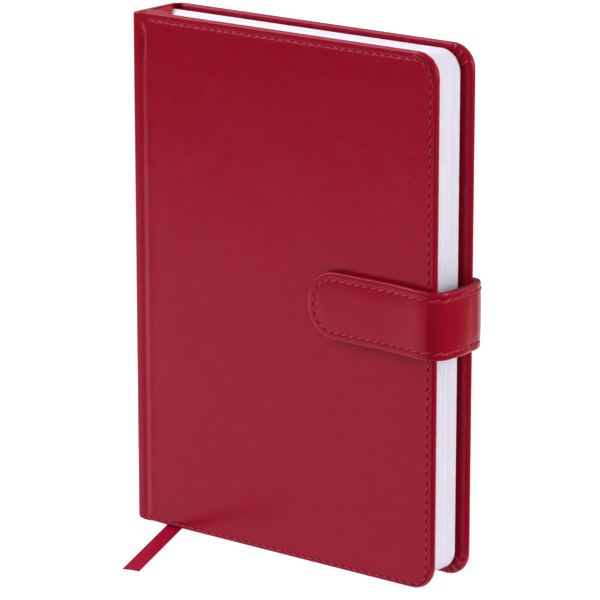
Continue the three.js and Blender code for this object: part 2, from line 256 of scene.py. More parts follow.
# ---- mesh making ----
def piece(name, points, faces, material, pits=None, sharp=None):
    """A smooth mesh object from book millimetres, in place in the row frame. pits is the needle holes' share
    at each point, which the leather's shader darkens as painted shade, and edges sharper than sharp degrees
    are kept."""
    mesh = bpy.data.meshes.new(name)
    mesh.from_pydata([tuple(p) for p in row(points)], [], [tuple(int(i) for i in f) for f in faces])
    if pits is not None:
        mesh.attributes.new("pit", "FLOAT", "POINT").data.foreach_set("value", np.asarray(pits, np.float32))
    mesh.polygons.foreach_set("use_smooth", [True] * len(mesh.polygons))
    if sharp is not None:
        mesh.set_sharp_from_angle(angle=math.radians(sharp))
    mesh.materials.append(material)
    mesh.update()
    made = bpy.data.objects.new(name, mesh)
    bpy.context.scene.collection.objects.link(made)
    return made


def grid_faces(rings, count, wrap=False, offset=0, flip=False):
    """Quads between neighbouring rings of count points each."""
    last = count if wrap else count - 1
    quads = [(offset + r * count + i, offset + r * count + (i + 1) % count,
              offset + (r + 1) * count + (i + 1) % count, offset + (r + 1) * count + i)
             for r in range(rings - 1) for i in range(last)]
    return [q[::-1] for q in quads] if flip else quads


def smooth_step(value, low, high):
    """0 below low, 1 above high, and a soft slope between."""
    t = np.clip((np.asarray(value, float) - low) / (high - low), 0, 1)
    return t * t * (3 - 2 * t)


def waves(x, z, size, seed):
    """Slow uneven height from crossing sine waves, from about -1 to 1."""
    rng = np.random.default_rng(seed)
    total = np.zeros(np.broadcast(x, z).shape)
    for _ in range(6):
        angle, phase = rng.uniform(0, 2 * math.pi, 2)
        length = size * rng.uniform(0.6, 1.6)
        total += np.sin((x * math.cos(angle) + z * math.sin(angle)) * 2 * math.pi / length + phase)
    return total / 3.5


def outline(x0, x1, z0, z1, radius, inset, arm, corner, side):
    """Points of a rectangle with both corners at x1 rounded: along the top from x0, down the side and back to
    x0. arm is the shares along the top and bottom, corner and side the steps of a corner and of the side."""
    half = (z1 - z0) / 2 - inset
    turn = radius - inset if inset < radius * 0.6 else radius * 0.4 + (inset - radius * 0.6) * 0.3
    turn = min(turn, half)
    right = x1 - inset
    along = x0 + (right - turn - x0) * arm
    angles = np.linspace(math.pi / 2, 0, corner + 1)
    top = z1 - inset - turn
    bottom = z0 + inset + turn
    arc_x, arc_z = right - turn + turn * np.cos(angles), turn * np.sin(angles)
    down = np.linspace(top, bottom, side + 1)
    return np.concatenate([
        np.stack([along, np.full(len(along), z1 - inset)], 1),
        np.stack([arc_x[1:], top + arc_z[1:]], 1),
        np.stack([np.full(side - 1, right), down[1:-1]], 1),
        np.stack([arc_x[::-1], bottom - arc_z[::-1]], 1),
        np.stack([along[::-1][1:], np.full(len(along) - 1, z0 + inset)], 1),
    ])


def arm_steps(length, fine, step_fine, step):
    """Shares from 0 to 1 along an arm, closer together over its first millimetres."""
    near = np.arange(0, fine, step_fine)
    far = np.linspace(fine, length, max(2, round((length - fine) / step)))
    return np.concatenate([near, far]) / length


HOLE_R = 0.38
HOLE_DEEP = 0.4


class Panel:
    """A sheet of leather: outline insets from its inner side, round its edge and over its face, whose middle
    is filled with a grid. The rings more than FINE in from the edge keep every third point."""

    FINE = 5

    def __init__(self, x0, x1, z0, z1, radius, back, profile, face, place, arm, corner, side):
        corner += (1 - len(arm) - corner) % 3
        self.size, self.radius, self.counts = (x0, x1, z0, z1), radius, (arm, corner, side)
        self.back, self.profile, self.face, self.place = back, profile, face, place
        self.reach = (len(arm) + corner - 1) // 3
        self.rows = side // 3

    def ring(self, inset):
        """The panel's outline, this far in from its edge."""
        return outline(*self.size, self.radius, inset, *self.counts)

    def depths(self, x, z, inset, inner, relief):
        """Depth below the face's plane. inner is 0 on the face and 1 on the inner side."""
        depth = self.face(x, z, inset) * (1 - inner) + self.back * inner
        return depth if relief is None else depth + relief(x, z, inset, inner)

    def middle(self, start, offset, flat, inset, inner):
        """Points and faces of the grid inside a coarse ring that starts at index start."""
        top, low = flat[:self.reach], flat[::-1][:self.reach]
        share = np.linspace(0, 1, self.rows + 1)[1:-1]
        x = np.repeat(top[:, 0], len(share))
        z = (top[:, 1][:, None] * (1 - share) + low[:, 1][:, None] * share).ravel()
        points = self.place(x, z, self.depths(x, z, inset, inner, None))

        def index(i, j):
            if i == self.reach:
                return start + self.reach + j
            if j in (0, self.rows):
                return start + (i if j == 0 else len(flat) - 1 - i)
            return offset + i * len(share) + j - 1

        faces = [(index(i, j), index(i + 1, j), index(i + 1, j + 1), index(i, j + 1))
                 for i in range(self.reach) for j in range(self.rows)]
        return points, faces

    def build(self, name, material, holes=(), flip=False, relief=None, closed=False):
        """The panel's mesh, with needle holes in its face. closed fills the inner side too."""
        tree = KDTree(len(holes))
        for i, (x, z) in enumerate(holes):
            tree.insert((x, z, 0), i)
        tree.balance()
        points, pits, faces, starts, flats = [], [], [], [], []
        total = 0
        for inset, inner in self.profile:
            flat = self.ring(inset)[::1 if inset < self.FINE else 3]
            x, z = flat[:, 0], flat[:, 1]
            depth = self.depths(x, z, inset, inner, relief)
            pit = np.zeros(len(flat))
            if len(holes) and inner == 0 and inset < self.FINE:
                away = np.array([tree.find((a, b, 0))[2] for a, b in flat])
                pit = np.exp(-((away / HOLE_R) ** 2))
                depth = depth + HOLE_DEEP * pit
            if flats:
                faces += ring_faces(starts[-1], len(flats[-1]), total, len(flat))
            points.append(self.place(x, z, depth))
            pits.append(pit)
            starts.append(total)
            flats.append(flat)
            total += len(flat)
        for k in (0, -1) if closed else (-1,):
            made, filled = self.middle(starts[k], total, flats[k], *self.profile[k])
            faces += filled if k else [f[::-1] for f in filled]
            points.append(made)
            pits.append(np.zeros(len(made)))
            total += len(made)
        faces = [f[::-1] for f in faces] if flip else faces
        return piece(name, np.concatenate(points), faces, material, np.concatenate(pits))


def ring_faces(first, count, second, other):
    """Faces between two open rings. Where one has a third of the other's points, they have six corners."""
    steps = min(count, other) - 1
    near = (count - 1) // steps
    far = (other - 1) // steps
    return [(*(first + near * i + k for k in range(near + 1)),
             *(second + far * i + k for k in reversed(range(far + 1)))) for i in range(steps)]


def smooth_line(knots, step):
    """A centripetal Catmull-Rom line through the knots, with points about step apart."""
    padded = np.vstack([2 * knots[0] - knots[1], knots, 2 * knots[-1] - knots[-2]])
    made = []
    for a, b, c, d in zip(padded, padded[1:], padded[2:], padded[3:], strict=False):
        gaps = [math.sqrt(math.dist(p, q)) for p, q in ((a, b), (b, c), (c, d))]
        times = np.concatenate([[0], np.cumsum(gaps)])

        def between(p, q, i, j, t, times=times):
            return ((times[j] - t) * p + (t - times[i]) * q) / (times[j] - times[i])

        count = max(2, math.ceil(math.dist(b, c) / step))
        for t in np.linspace(times[1], times[2], count, endpoint=False):
            first, second, third = between(a, b, 0, 1, t), between(b, c, 1, 2, t), between(c, d, 2, 3, t)
            left, right = between(first, second, 0, 2, t), between(second, third, 1, 3, t)
            made.append(between(left, right, 1, 2, t))
    return np.array([*made, knots[-1]])


def lengths(line):
    """Distance along a line to each of its points."""
    return np.concatenate([[0], np.cumsum(np.linalg.norm(np.diff(line, axis=0), axis=1))])


def point_at(where, along, line):
    """Points of a line at these distances along it."""
    return np.stack([np.interp(where, along, line[:, k]) for k in range(line.shape[1])], 1)


def spaced(line, step, start=0.0, end=0.0):
    """Evenly spaced points on a line, and the direction there."""
    along = lengths(line)
    count = int((along[-1] - start - end) / step)
    at = start + (np.arange(count) + 0.5) * step
    reach = 0.05
    heading = point_at(at + reach, along, line) - point_at(at - reach, along, line)
    return point_at(at, along, line), heading / np.linalg.norm(heading, axis=1)[:, None]


STITCH_PITCH = 3.85
STITCH_LONG = 2.75
STITCH_SLANT = 0.34  # how far a stitch's ends stand off its line
STITCH_CROWN = 0.24  # how far its middle stands out of the leather
STITCH_DIP = 0.44  # and how far its ends go down from there
THREAD_R = 0.29


def sewing(name, line, surface, start=0.0, end=0.0):
    """Thread dashes along a line drawn on a panel, and the needle holes between them. surface(x, z, out) is a
    point that far out from the leather."""
    centres, heading = spaced(line, STITCH_PITCH, start, end)
    holes = centres + heading * STITCH_PITCH / 2
    across = np.stack([-heading[:, 1], heading[:, 0]], 1)
    points, faces = [], []
    steps, sides = 9, 7
    turns = np.linspace(0, 2 * math.pi, sides, endpoint=False)
    for centre, go, side in zip(centres, heading, across, strict=True):
        t = np.linspace(-1, 1, steps)
        flat = centre + np.outer(t * STITCH_LONG / 2, go) + np.outer(-t * STITCH_SLANT, side)
        out = STITCH_CROWN - STITCH_DIP * np.abs(t) ** 3
        radius = THREAD_R * (1 - 0.5 * np.abs(t) ** 4)
        offset = len(points)
        for p, o, r in zip(flat, out, radius, strict=True):
            for a in turns:
                q = p + side * r * math.cos(a)
                points.append((q[0], q[1], o + r * math.sin(a)))
        faces += grid_faces(steps, sides, wrap=True, offset=offset)
        faces.append(tuple(offset + i for i in range(sides)))
        faces.append(tuple(offset + (steps - 1) * sides + i for i in reversed(range(sides))))
    points = np.array(points)
    made = piece(name, surface(points[:, 0], points[:, 1], points[:, 2]), faces, THREAD)
    return made, holes


# ---- ribbon: down from the block's tail, then out along the floor ----
RIBBON_W = 7.4
RIBBON_THICK = 0.14
RIBBON_EXIT = (16.0, 8.6)  # x and y where it leaves the block
RIBBON_TURN = math.radians(22.0)  # towards the fore edge from straight ahead
RIBBON_REACH = 64.8
RIBBON_BEND = 1.6
RIBBON_TOP = PAGE_LOW[2] - 0.4
RIBBON_Z = 0.12  # height of its middle on the floor


def ribbon_route():
    """Distance out from the exit and height, down from the block and out along the floor."""
    angles = np.linspace(math.pi, 1.5 * math.pi, 9)
    bend = [(RIBBON_BEND * (1 + math.cos(a)), RIBBON_Z + RIBBON_BEND * (1 + math.sin(a))) for a in angles]
    floor = [(s, RIBBON_Z) for s in np.linspace(RIBBON_BEND, RIBBON_REACH, 34)[1:]]
    return np.array([(0.0, RIBBON_TOP), *bend, *floor])


def make_ribbon():
    route = ribbon_route()
    ahead = np.array([math.sin(RIBBON_TURN), -math.cos(RIBBON_TURN)])
    side = np.array([math.cos(RIBBON_TURN), math.sin(RIBBON_TURN)])
    path = np.array([(*(RIBBON_EXIT + ahead * s), z) for s, z in route])
    along = lengths(route)
    total = along[-1]
    at = np.linspace(0, total, 150)
    line = point_at(at, along, route)
    selvedges = np.array([0.9, 0.94, 0.985, 1])
    across = np.concatenate([-selvedges[::-1], np.linspace(-0.84, 0.84, 19), selvedges])
    step = np.gradient(line, axis=0)
    step /= np.linalg.norm(step, axis=1)[:, None]
    normal = np.stack([-step[:, 1], step[:, 0]], 1)
    count = len(across)
    top, under = [], []
    for i, (s, z) in enumerate(line):
        share = at[i] / total
        lift = smooth_step(s, 12, 30) * (0.10 + 0.10 * math.sin(s * 0.21))
        for c in across:
            selvedge = 0.05 * smooth_step(abs(c), 0.86, 0.93)
            cup = lift * (1 - c * c)
            slant = 0.4 * c * smooth_step(share, 0.9, 1)
            flat = np.array(RIBBON_EXIT) + ahead * (s + slant) + side * c * RIBBON_W / 2
            for shell, sign in ((top, 1), (under, -1)):
                thick = RIBBON_THICK / 2 + selvedge
                up = z + cup + normal[i][1] * sign * thick
                out = flat + ahead * normal[i][0] * sign * thick
                shell.append((out[0], out[1], up))
    rings = len(at)
    points = np.array(top + under)
    half = len(top)
    faces = grid_faces(rings, count, flip=True) + grid_faces(rings, count, offset=half)
    for r in range(rings - 1):
        a, b = r * count, (r + 1) * count
        faces.append((a, a + half, b + half, b))
        a, b = a + count - 1, b + count - 1
        faces.append((a, b, b + half, a + half))
    for r in (0, rings - 1):
        for i in range(count - 1):
            a = r * count + i
            quad = (a, a + 1, a + 1 + half, a + half)
            faces.append(quad if r == 0 else quad[::-1])
    ribbon = piece("ribbon_marker", points, faces, RIBBON, sharp=50)
    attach(ribbon, "text_block")
    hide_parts("ribbon_tail")
    row(path[0])
    row(path)


make_ribbon()


# ---- cover leather: one sheet over the shoulder, the groove and the cover ----
GROOVE_X = 5.1
GROOVE_DEEP = 0.42
LIP_X = 8.3  # the padding's raised lip beside the groove
STITCH_HEAD = 3.3  # insets of the sewing
STITCH_TAIL = 1.8
STITCH_FORE = 2.6
PUFF = 0.13  # rise of the padded middle
PRESS = 0.28  # and how far the strap presses it down
SKIN = 0.7  # the folded skin's thickness between the spine and a cover's board
RIDGE = 0.38  # height of the ridges round the corners
BLEND_FROM, BLEND_TO = 4.3, 7.4  # the stretch of leather across the groove lies between these
FOOT_LIFT = 0.25  # the front cover's foot stands this much higher beside the spine
HEAD_DROP = 0.5  # and the heads this much lower


def groove(x, z):
    """Depth of the groove between the spine and a cover. It is shallow and open where the leather is folded
    over the head and tail."""
    from_end = np.minimum(H - z, z + 1.5)
    deep = GROOVE_DEEP * (0.12 + 0.88 * smooth_step(from_end, 3.6, 7.5))
    flare = smooth_step(H - z, 5, 9) * (1 - smooth_step(H - z, 13, 24))
    wide = np.where(x < GROOVE_X, 0.62, 1.45)
    lip = 0.14 * np.exp(-(((x - LIP_X) / 0.9) ** 2)) * smooth_step(from_end, 3.6, 7.5)
    return deep * (1 + 1.2 * flare) * np.exp(-(((x - GROOVE_X) / wide) ** 2)) - lip


def corner_share(x, z):
    """1 in a cover's rounded corners, falling to 0 along its straight edges."""
    room = CORNER + 3
    up_or_down = np.maximum(np.maximum(z - (H - room), 0), np.maximum(room - z, 0))
    reach = np.minimum(np.maximum(x - (W - room), 0), up_or_down)
    return smooth_step(reach, 0.5, 5.0)


def from_sewing(x, z, low):
    """How far inside a cover's line of sewing a point is."""
    radius = CORNER - STITCH_FORE
    right, top, bottom = W - STITCH_FORE, H - STITCH_HEAD, low + STITCH_TAIL
    over_x = x - (right - radius)
    over_z = np.maximum(z - (top - radius), (bottom + radius) - z)
    straight = np.maximum(np.maximum(x - right, z - top), bottom - z)
    return -np.where((over_x > 0) & (over_z > 0), np.hypot(over_x, over_z) - radius, straight)


def pressed(x, z):
    """The padding gives way a little under the strap and round it."""
    half = STRAP_H / 2
    away = np.hypot(np.maximum(STRAP_TIP + half - x, 0), z - STRAP_Z - 0.4) - half
    return PRESS * (1 - smooth_step(away, -2.5, 4.5)) * (1 - smooth_step(x, W - 16, W - 4))


def cover_face(seed, low):
    """The depth of a cover's face: groove, padding, the seam's valley and the corners' ridges."""
    def face(x, z, inset):
        inside = from_sewing(x, z, low)
        sewn = np.where(z > H / 2, smooth_step(x, 7.8, 9.5), smooth_step(x, 3.6, 4.4))
        depth = groove(x, z) - PUFF * smooth_step(inside, 0.4, 14) * smooth_step(x, 9, 22)
        if low:
            depth = depth + pressed(x, z)
        depth = depth + 0.20 * np.exp(-((inside / 0.42) ** 2)) * sewn
        depth = depth - 0.06 * np.exp(-(((inside + 1.1) / 0.5) ** 2)) * sewn
        fade = math.exp(-(((inset - 1.15) / 0.85) ** 2))
        ridge = corner_share(x, z) * RIDGE * math.cos((inset - 0.35) * 2 * math.pi / 0.95) * fade
        return depth + ridge + 0.035 * waves(x, z, 46, seed) * smooth_step(inset, 2, 9)
    return face


def rolled(turn):
    """Insets and inner shares round an edge of this roundness, from the inner side to the face."""
    return [(turn * (1 - math.sin(a)), (1 + math.cos(a)) / 2) for a in np.linspace(0, math.pi, 13)]


def edge_profile():
    """Insets and inner shares: in from the turned-in edge, round the cover's edge, and over the face."""
    inner = (15.0, 12.0, 9.0, 7.0, 5.5, 4.8, 4.3, 3.8, 3.4, 3.0, 2.7, 2.4, 2.1, 1.8, 1.5, 1.2)
    near = [EDGE_ROUND + 0.12 + 0.135 * i for i in range(22)]
    face = (*near, 4.6, 5.6, 7.0, 9.0, 12.0)
    return [(v, 1.0) for v in inner] + rolled(EDGE_ROUND) + [(v, 0.0) for v in face]


def pleats(x, z, inset, inner):
    """A cover's inner side: a single skin beside the groove, and leather gathered in fans at the corners."""
    out = np.maximum(z - H / 2, H / 2 - z)
    cx, cz = W - CORNER - 1, H / 2 - CORNER - 1
    angle = np.arctan2(out - cz, x - cx)
    near = corner_share(x, z) * inner * math.exp(-(((inset - 2.4) / 2.2) ** 2))
    fans = np.sin(angle * 17 + 0.8 * np.sin(angle * 5)) + 0.5 * np.sin(angle * 31 + 1)
    pucker = np.maximum(0.12 + 0.11 * waves(x, z, 3.2, 21) + 0.07 * waves(x, z, 7.0, 22), 0)
    skin = (SKIN + groove(x, z) - INNER) * (1 - smooth_step(x, 6.5, 7.5))
    gathers = 0.34 * near * np.maximum(fans + 0.7, 0)
    return gathers + pucker * inner * math.exp(-(((inset - 2.6) / 2.0) ** 2)) + skin * inner


def make_cover(side, name):
    """A cover's leather and sewing. side is 0 at the front and 1 at the back."""
    low = LIFT if side == 0 else 0.0

    def place(x, z, depth):
        drop = HEAD_DROP * (1 - smooth_step(x, SPINE_IN - 1, 9.0)) * smooth_step(z, H - 12, H)
        lift = FOOT_LIFT * (1 - smooth_step(x, SPINE_IN, 16.0)) * (1 - smooth_step(z, 0, 9)) * (side == 0)
        return np.stack([x, depth if side == 0 else D - depth, z - drop + lift], 1)

    arm = arm_steps(W - CORNER - SPINE_IN, 6.6, 0.22, 0.45)
    face = cover_face(3 + side, low)
    panel = Panel(SPINE_IN, W, low, H, CORNER, INNER, edge_profile(), face, place, arm, 34, 420)
    line = outline(SPINE_IN, W - STITCH_FORE, low + STITCH_TAIL, H - STITCH_HEAD, CORNER - STITCH_FORE, 0,
                   arm, 34, 60)

    def surface(x, z, out):
        return place(x, z, face(x, z, STITCH_FORE) - out)

    thread, holes = sewing(f"{name}_stitches", line, surface, start=6.4, end=0.6)
    skin = panel.build(f"{name}_cover_leather", LEATHER, holes, flip=side == 1, relief=pleats)
    y = 0.0 if side == 0 else D
    for made, slot in ((skin, "leather"), (thread, "thread")):
        row((BLEND_FROM, y, 0))
        row((BLEND_TO, y, 0))
        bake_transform(made)
    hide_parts(f"{name}_leather", f"{name}_joint_leather")
    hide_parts(f"{name}_stitching")


make_cover(0, "front")
make_cover(1, "back")


# ---- spine ----
def rounded_rect(x0, x1, y0, y1, radius_out, radius_in, inset, steps=7):
    """A closed plan outline, rounded at x0 and nearly square at x1."""
    points = []
    corners = ((x0, y0, radius_out, math.pi, 1.5 * math.pi), (x1, y0, radius_in, 1.5 * math.pi, 2 * math.pi),
               (x1, y1, radius_in, 0, 0.5 * math.pi), (x0, y1, radius_out * 1.6, 0.5 * math.pi, math.pi))
    for cx, cy, radius, start, stop in corners:
        r = max(radius - inset, 0.02)
        ax = cx + (inset + r) * (1 if cx == x0 else -1)
        ay = cy + (inset + r) * (1 if cy == y0 else -1)
        for a in np.linspace(start, stop, steps):
            points.append((ax + r * math.cos(a), ay + r * math.sin(a)))
    return np.array(points)


TAIL_ROUND, HEAD_ROUND = 2.2, 1.4


def make_spine():
    """The spine's leather over its board: rounded edges, worked round at the head and tail."""
    foot = [(EDGE_ROUND * (1 - math.sin(a)), INNER / 2 * (1 - math.cos(a)) * 0.66)
            for a in np.linspace(math.pi / 2, 0, 6)]
    near = EDGE_ROUND + 0.25 * np.arange(1, 9)
    heights = np.concatenate([near, np.linspace(near[-1] + 1, H - near[-1] - 1, 60), H - near[::-1]])
    rings = foot + [(z, 0.0) for z in heights] + [(H - z, d) for z, d in reversed(foot)]
    points = []
    for z, d in rings:
        flat = rounded_rect(0.0, SPINE_IN, 0.0, D, 1.7, 0.02, d)
        lift = (LIFT + FOOT_LIFT) * (1 - smooth_step(flat[:, 1], 1.5, 7)) * (1 - smooth_step(z, 0, 9))
        lift = lift - HEAD_DROP * smooth_step(z, H - 12, H)
        flush = flat[:, 0] > SPINE_IN - 1.5  # the side that meets the covers' leather stays straight
        flat[flush, 0] = SPINE_IN - (SPINE_IN - flat[flush, 0]) * 0.02
        wobble = 0.05 * waves(flat[:, 1], z, 40, 9) * (flat[:, 0] < 1)
        from_tail, from_head = max(TAIL_ROUND - z, 0), max(HEAD_ROUND - (H - z), 0)
        tuck = TAIL_ROUND - math.sqrt(TAIL_ROUND ** 2 - from_tail ** 2)
        tuck += HEAD_ROUND - math.sqrt(HEAD_ROUND ** 2 - from_head ** 2)
        squeeze = 1 - (tuck * 0.8) / SPINE_IN
        flat[:, 0] = SPINE_IN - (SPINE_IN - flat[:, 0]) * squeeze + wobble
        points.append(np.column_stack([flat, z + lift]))
    count = len(points[0])
    faces = grid_faces(len(points), count, wrap=True)
    faces.append(tuple(reversed(range(count))))
    faces.append(tuple((len(points) - 1) * count + i for i in range(count)))
    spine = piece("spine_cover_leather", np.concatenate(points), faces, LEATHER, sharp=40)
    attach(spine, "text_block")
    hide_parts("spine_leather")


make_spine()


# ---- folds of leather at the head and tail ----
def make_fold(name, node, up):
    """A rolled tongue of leather with a round end, creased on the side that faces out."""
    low, high = book_box(node)
    reach = high[0]
    middle_y, middle_z = (low[1] + high[1]) / 2, (low[2] + high[2]) / 2
    half_y, half_z = (high[1] - low[1]) / 2, (high[2] - low[2]) / 2
    sides = 32
    turns = np.linspace(0, 2 * math.pi, sides, endpoint=False)
    points = []
    stations = np.concatenate([np.linspace(SPINE_IN + 0.1, reach - half_y, 18),
                               reach - half_y + half_y * np.sin(np.linspace(0.12, math.pi / 2, 10))])
    for x in stations:
        share = (x - stations[0]) / (reach - stations[0])
        tip = math.sqrt(max(1 - max(0, (x - (reach - half_y)) / half_y) ** 2, 0.0025))
        wide = half_y * tip * (1 - 0.12 * share)
        tall = half_z * (0.25 + 0.75 * tip)
        for a in turns:
            c, s = math.cos(a), math.sin(a)
            crease = 1 - 0.16 * math.exp(-(((c + 0.35) / 0.2) ** 2)) * (s * up > 0)
            spread = 1 + 0.5 * (1 - share) * (c < 0)
            y = middle_y - 0.4 * share + wide * math.copysign(abs(c) ** 0.95, c) * spread
            z = middle_z + tall * crease * math.copysign(abs(s) ** 0.95, s)
            points.append((x, y, z))
    rings = len(stations)
    faces = grid_faces(rings, sides, wrap=True, flip=True)
    faces.append(tuple(range(sides)))
    faces.append(tuple((rings - 1) * sides + i for i in reversed(range(sides))))
    fold = piece(name, np.array(points), faces, LEATHER)
    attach(fold, "text_block")
    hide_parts(node)


make_fold("head_fold_leather", "head_fold", 1)
make_fold("tail_fold_leather", "tail_fold", -1)


def make_cap(name, node, up):
    """The slanting flap beside a fold: a thin sheet that dips to its cut edge."""
    low, high = book_box(node)
    across, ahead = np.linspace(0, 1, 22), np.linspace(0, 1, 26)
    middle = (low[2] + high[2]) / 2
    shells = []
    for sign in (1, -1):
        for v in ahead:
            y = low[1] + (high[1] - low[1]) * v
            reach = high[0] + (PAGE_LOW[0] + 0.6 - high[0]) * v
            for u in across:
                x = low[0] + (reach - low[0]) * u
                rise = -0.35 * (1 - smooth_step(v, 0, 0.3)) - 0.25 * u ** 3 + 0.05 * math.sin(9 * v + 5 * u)
                thick = 0.3 * math.sqrt(max(1 - u ** 8, 0.02))
                shells.append((x, y, middle + up * (rise + sign * thick)))
    count, rings = len(across), len(ahead)
    half = count * rings
    faces = grid_faces(rings, count) + grid_faces(rings, count, offset=half, flip=True)
    border = [*range(count), *(r * count + count - 1 for r in range(1, rings))]
    border += [(rings - 1) * count + i for i in range(count - 2, -1, -1)]
    border += [r * count for r in range(rings - 2, 0, -1)]
    for a, b in zip(border, border[1:] + border[:1], strict=True):
        faces.append((a, a + half, b + half, b))
    # The flap is in the lighter copy of the leatherette: painted light.
    cap = piece(name, np.array(shells), faces, LIT_FOLDED, sharp=50)
    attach(cap, "text_block")
    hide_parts(node)


make_cap("head_cap_leather", "head_cap", 1)
make_cap("tail_cap_leather", "tail_cap", -1)


# ---- page block: each section with the edges of its leaves ----
def make_leaves(name, node, body, leaves, seed):
    """A stack of leaves, whose cut edges stand a hair in or out of line."""
    low, high = book_box(node)
    rng = np.random.default_rng(seed)
    z0, z1 = PAGE_LOW[2], PAGE_HIGH[2]
    rings = []
    arm = np.linspace(0, 1, 24)
    for i in range(leaves):
        y0 = low[1] + (high[1] - low[1]) * i / leaves
        y1 = low[1] + (high[1] - low[1]) * (i + 1) / leaves
        back = abs(rng.normal(0, 0.035))
        rings += [(y0, 0.09), (y0 + (y1 - y0) * 0.25, back), (y0 + (y1 - y0) * 0.75, back)]
    rings.append((high[1], 0.09))
    points = []
    for y, inset in rings:
        flat = outline(low[0], high[0], z0, z1, PAGE_CORNER, inset, arm, 14, 30)
        points.append(np.stack([flat[:, 0], np.full(len(flat), y), flat[:, 1]], 1))
    count = len(points[0])
    faces = grid_faces(len(points), count, wrap=True)
    faces.append(tuple(reversed(range(count))))
    faces.append(tuple((len(points) - 1) * count + i for i in range(count)))
    stack = piece(name, np.concatenate(points), faces, PAPER_EDGE, sharp=30)
    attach(stack, body)
    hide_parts(node)


for number in range(1, 13):
    section = f"section_{number:02d}"
    owner = {1: "first_section", 2: "second_section"}.get(number, "text_block")
    make_leaves(f"{section}_leaves", section, owner, 10, number)


# ---- strap ----
SIDE_X = W + 0.9  # its inner face beyond the fore edge
STRAP_START = 148.2  # its seam on the back cover
BACK_Y = D + STRAP_GAP


def strap_path():
    """The strap's inner face in plan, from its seam on the back cover, round the fore edge, to the tip. It
    lies flat at the tip, lifts a little before the front edge, and turns more tightly at the back."""
    knots = [(STRAP_START, BACK_Y), (SIDE_X - 2.6, BACK_Y - 0.05), (SIDE_X - 0.9, BACK_Y - 0.9),
             (SIDE_X + 0.05, BACK_Y - 3.2), (SIDE_X + 0.6, BACK_Y - 8.0), (SIDE_X + 1.1, D / 2),
             (SIDE_X + 1.15, 6.2), (SIDE_X + 0.5, 2.1), (SIDE_X - 1.6, -0.55), (SIDE_X - 5.0, -1.25),
             (SIDE_X - 11.0, -0.85), (SIDE_X - 20.0, -STRAP_GAP), (SIDE_X - 30.0, -STRAP_GAP),
             (STRAP_TIP, -STRAP_GAP)]
    return smooth_line(np.array(knots), 0.25)


STRAP_PATH = strap_path()
STRAP_ALONG = lengths(STRAP_PATH)
STRAP_LONG = STRAP_ALONG[-1]


def strap_place(u, v, height):
    """Points on the strap: u along its inner face, v up from its middle line, height out from that face."""
    u = np.asarray(u, float)
    reach = 0.6
    ahead = point_at(u + reach, STRAP_ALONG, STRAP_PATH) - point_at(u - reach, STRAP_ALONG, STRAP_PATH)
    ahead /= np.linalg.norm(ahead, axis=1)[:, None]
    out = np.stack([-ahead[:, 1], ahead[:, 0]], 1)
    flat = point_at(u, STRAP_ALONG, STRAP_PATH) + out * np.asarray(height)[:, None]
    droop = 1.2 * (1 - smooth_step(u, 2, 60)) - 0.6
    return np.column_stack([flat, STRAP_Z + np.asarray(v) - droop])


STRAP_STITCH_IN = 3.0


def strap_face(u, v, inset):
    """How far the strap's outer face lies in from its full thickness."""
    seam = 0.2 * np.exp(-(((inset - STRAP_STITCH_IN) / 0.5) ** 2))
    crown = -0.22 * smooth_step(inset, 3.4, 8)
    return seam + crown + 0.02 * waves(u, v, 18, 5) * smooth_step(inset, 3, 8)


def strap_profile(turn, fine):
    """Insets and inner shares of a strap's ply, with this edge roundness and fine rings by its sewing."""
    last = 8.0
    inner = (last, 6.0, 4.0, 2.6, turn + 0.3)
    near = [turn + 0.1 + (3.9 - turn) * i / fine for i in range(fine)]
    return [(v, 1.0) for v in inner] + rolled(turn) + [(v, 0.0) for v in (*near, 4.6, 5.4, 6.6, last)]


STRAP_HALF = STRAP_H / 2
STRAP_ROUND = STRAP_HALF - 0.6  # radius of the tip's corners


def make_strap():
    """The strap's outer ply, its sewing and its lining, bent along the strap's path."""
    arm = arm_steps(STRAP_LONG - STRAP_ROUND, 42, 0.42, 0.42)

    def outer_place(u, v, depth):
        return strap_place(u, v, STRAP_T - depth)

    outer = Panel(0, STRAP_LONG, -STRAP_HALF, STRAP_HALF, STRAP_ROUND, STRAP_T - STRAP_PLY,
                  strap_profile(1.4, 18), strap_face, outer_place, arm, 72, 12)
    line = outer.ring(STRAP_STITCH_IN)

    def surface(u, v, out):
        return outer_place(u, v, strap_face(u, v, STRAP_STITCH_IN) - out)

    thread, holes = sewing("strap_stitches", line, surface, start=2.0, end=2.0)
    skin = outer.build("strap_leather", LEATHER, holes, flip=True, closed=True)

    def lining_place(u, v, depth):
        return strap_place(u, v, STRAP_PLY - depth)

    def lining_face(u, v, inset):
        return np.full(len(u), 0.03)

    back = 0.1  # the lining stops this far inside the outer ply's edge
    lining = Panel(0, STRAP_LONG - back, -STRAP_HALF + back, STRAP_HALF - back, STRAP_ROUND - back, STRAP_PLY,
                   strap_profile(0.9, 4), lining_face, lining_place, arm, 72, 12)
    lining = lining.build("strap_lining_leather", LINING, flip=True, closed=True)
    start, end = row((150.0, BACK_Y + STRAP_T, 0)), row((153.0, 20.0, 0))
    for made, slot in ((skin, "leather"), (thread, "thread"), (lining, "lining")):
        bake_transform(made)
    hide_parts("strap_outer")
    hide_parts("strap_stitching")
    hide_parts("strap_lining")


make_strap()


